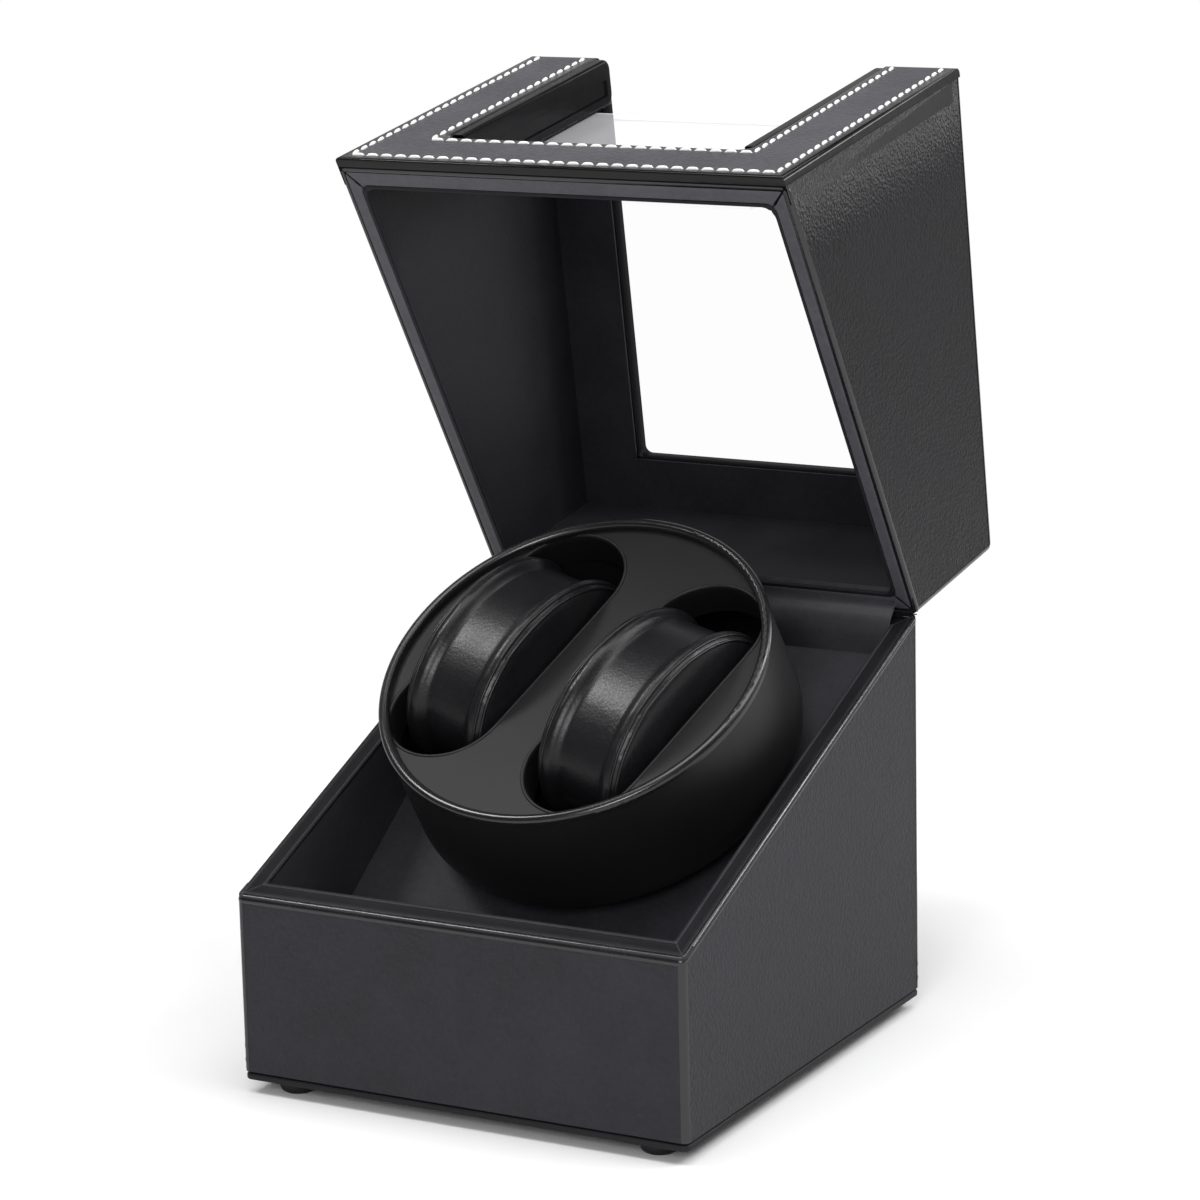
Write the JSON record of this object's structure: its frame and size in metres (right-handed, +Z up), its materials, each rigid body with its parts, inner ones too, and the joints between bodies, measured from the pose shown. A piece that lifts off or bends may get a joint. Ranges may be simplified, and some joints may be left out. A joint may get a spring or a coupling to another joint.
{
  "type": "watch winder",
  "caption": "Leather-covered watch winder: a sloping box with a hinged windowed lid and a tilted turning drum that holds removable cushions.",
  "frame": {"origin": "on the table under the middle of the base's plan, without the hinge barrels", "axes": "+Z up, -Y to the front where the box is low, +X to the right seen from the front"},
  "size_m": [0.165, 0.2376, 0.3216],
  "materials": {
    "case_leather": "embossed fine grain, satin",
    "frame_leather": "embossed fine grain with a glossy painted edge and light stitching",
    "strip_leather": "smooth, soft satin",
    "lining_leather": "smooth, satin",
    "deck_leather": "fine grain, satin",
    "board_wood": "painted fibreboard",
    "drum_plastic": "soft-touch matte",
    "rim_plastic": "satin",
    "cushion_leather": "soft, satin, piped",
    "pane_clear": "clear, polished",
    "foot_rubber": "matte",
    "screw_steel": "zinc plated",
    "shaft_steel": "turned",
    "hinge_steel": "dark plated",
    "bush_brass": "turned",
    "gear_nylon": "natural nylon",
    "pad_foam": "foam with a felt face",
    "board_green": "solder-masked",
    "switch_plastic": "moulded",
    "nut_chrome": "nickel plated"
  },
  "bodies": {
    "base": {"base_back": "case_leather", "base_front": "case_leather", "base_left": "case_leather", "base_lining": "lining_leather", "base_right": "case_leather", "board_parts": "switch_plastic", "board_posts": "gear_nylon", "bottom_board": "board_wood", "control_board": "board_green", "deck": "deck_leather", "deck_bush": "bush_brass", "deck_rails": "board_wood", "foot_back_left": "foot_rubber", "foot_back_right": "foot_rubber", "foot_front_left": "foot_rubber", "foot_front_right": "foot_rubber", "foot_screws": "screw_steel", "gearbox_plate": "shaft_steel", "gearbox_posts": "shaft_steel", "gearbox_screws": "screw_steel", "hinge_cover": "strip_leather", "hinge_left_base_leaf": "hinge_steel", "hinge_pins": "shaft_steel", "hinge_right_base_leaf": "hinge_steel", "hinge_screws_base": "screw_steel", "jack_nut": "nut_chrome", "motor": "shaft_steel", "motor_screws": "screw_steel", "plate_bush": "bush_brass", "power_jack": "switch_plastic", "switch_bezel": "switch_plastic", "thrust_washer": "gear_nylon"},
    "lid": {"lid_left": "case_leather", "lid_right": "case_leather", "lid_back": "case_leather", "lid_front": "case_leather", "lid_top": "case_leather", "front_frame": "frame_leather", "window_pane": "pane_clear", "lid_lining": "lining_leather", "lid_top_lining": "lining_leather", "hinge_left_lid_leaf": "hinge_steel", "hinge_right_lid_leaf": "hinge_steel", "hinge_screws_lid": "screw_steel"},
    "drum": {"drum_cup": "drum_plastic", "drum_bottom": "drum_plastic", "drum_rim": "rim_plastic", "drum_face": "drum_plastic", "slot_collars": "drum_plastic", "drum_hub": "gear_nylon", "hub_screws": "screw_steel", "drum_floor_pad": "pad_foam", "drum_shaft": "shaft_steel", "drum_gear": "gear_nylon", "shaft_clip": "screw_steel"},
    "cushion_left": {"cushion_left": "cushion_leather"},
    "cushion_right": {"cushion_right": "cushion_leather"},
    "pinion": {"motor_pinion": "bush_brass", "motor_shaft": "shaft_steel"},
    "rocker": {"switch_rocker": "switch_plastic"}
  },
  "joints": [
    {"name": "lid_hinge", "type": "hinge", "parent": "base", "child": "lid", "pos_m": [0, 0.087, 0.14], "axis": [1, 0, 0], "range_deg": [0, 81], "deforming": ["hinge_cover"]},
    {"name": "drum_spin", "type": "hinge", "parent": "base", "child": "drum", "pos_m": [0, -0.00638, 0.1355], "axis": [0, -0.5693, 0.8221], "continuous": true},
    {"name": "cushion_left_lift", "type": "slide", "parent": "drum", "child": "cushion_left", "axis": [0, -0.5693, 0.8221], "range_m": [0, 0.03]},
    {"name": "cushion_right_lift", "type": "slide", "parent": "drum", "child": "cushion_right", "axis": [0, -0.5693, 0.8221], "range_m": [0, 0.03]},
    {"name": "pinion_spin", "type": "hinge", "parent": "base", "child": "pinion", "pos_m": [0.02405, -0.00638, 0.1355], "axis": [0, -0.5693, 0.8221], "continuous": true},
    {"name": "switch_rock", "type": "hinge", "parent": "base", "child": "rocker", "pos_m": [0.028, 0.0845, 0.026], "axis": [1, 0, 0], "range_deg": [-16, 0]}
  ],
  "couplings": [
    {"joint": "pinion_spin", "follows": "drum_spin", "ratio": -4}
  ]
}
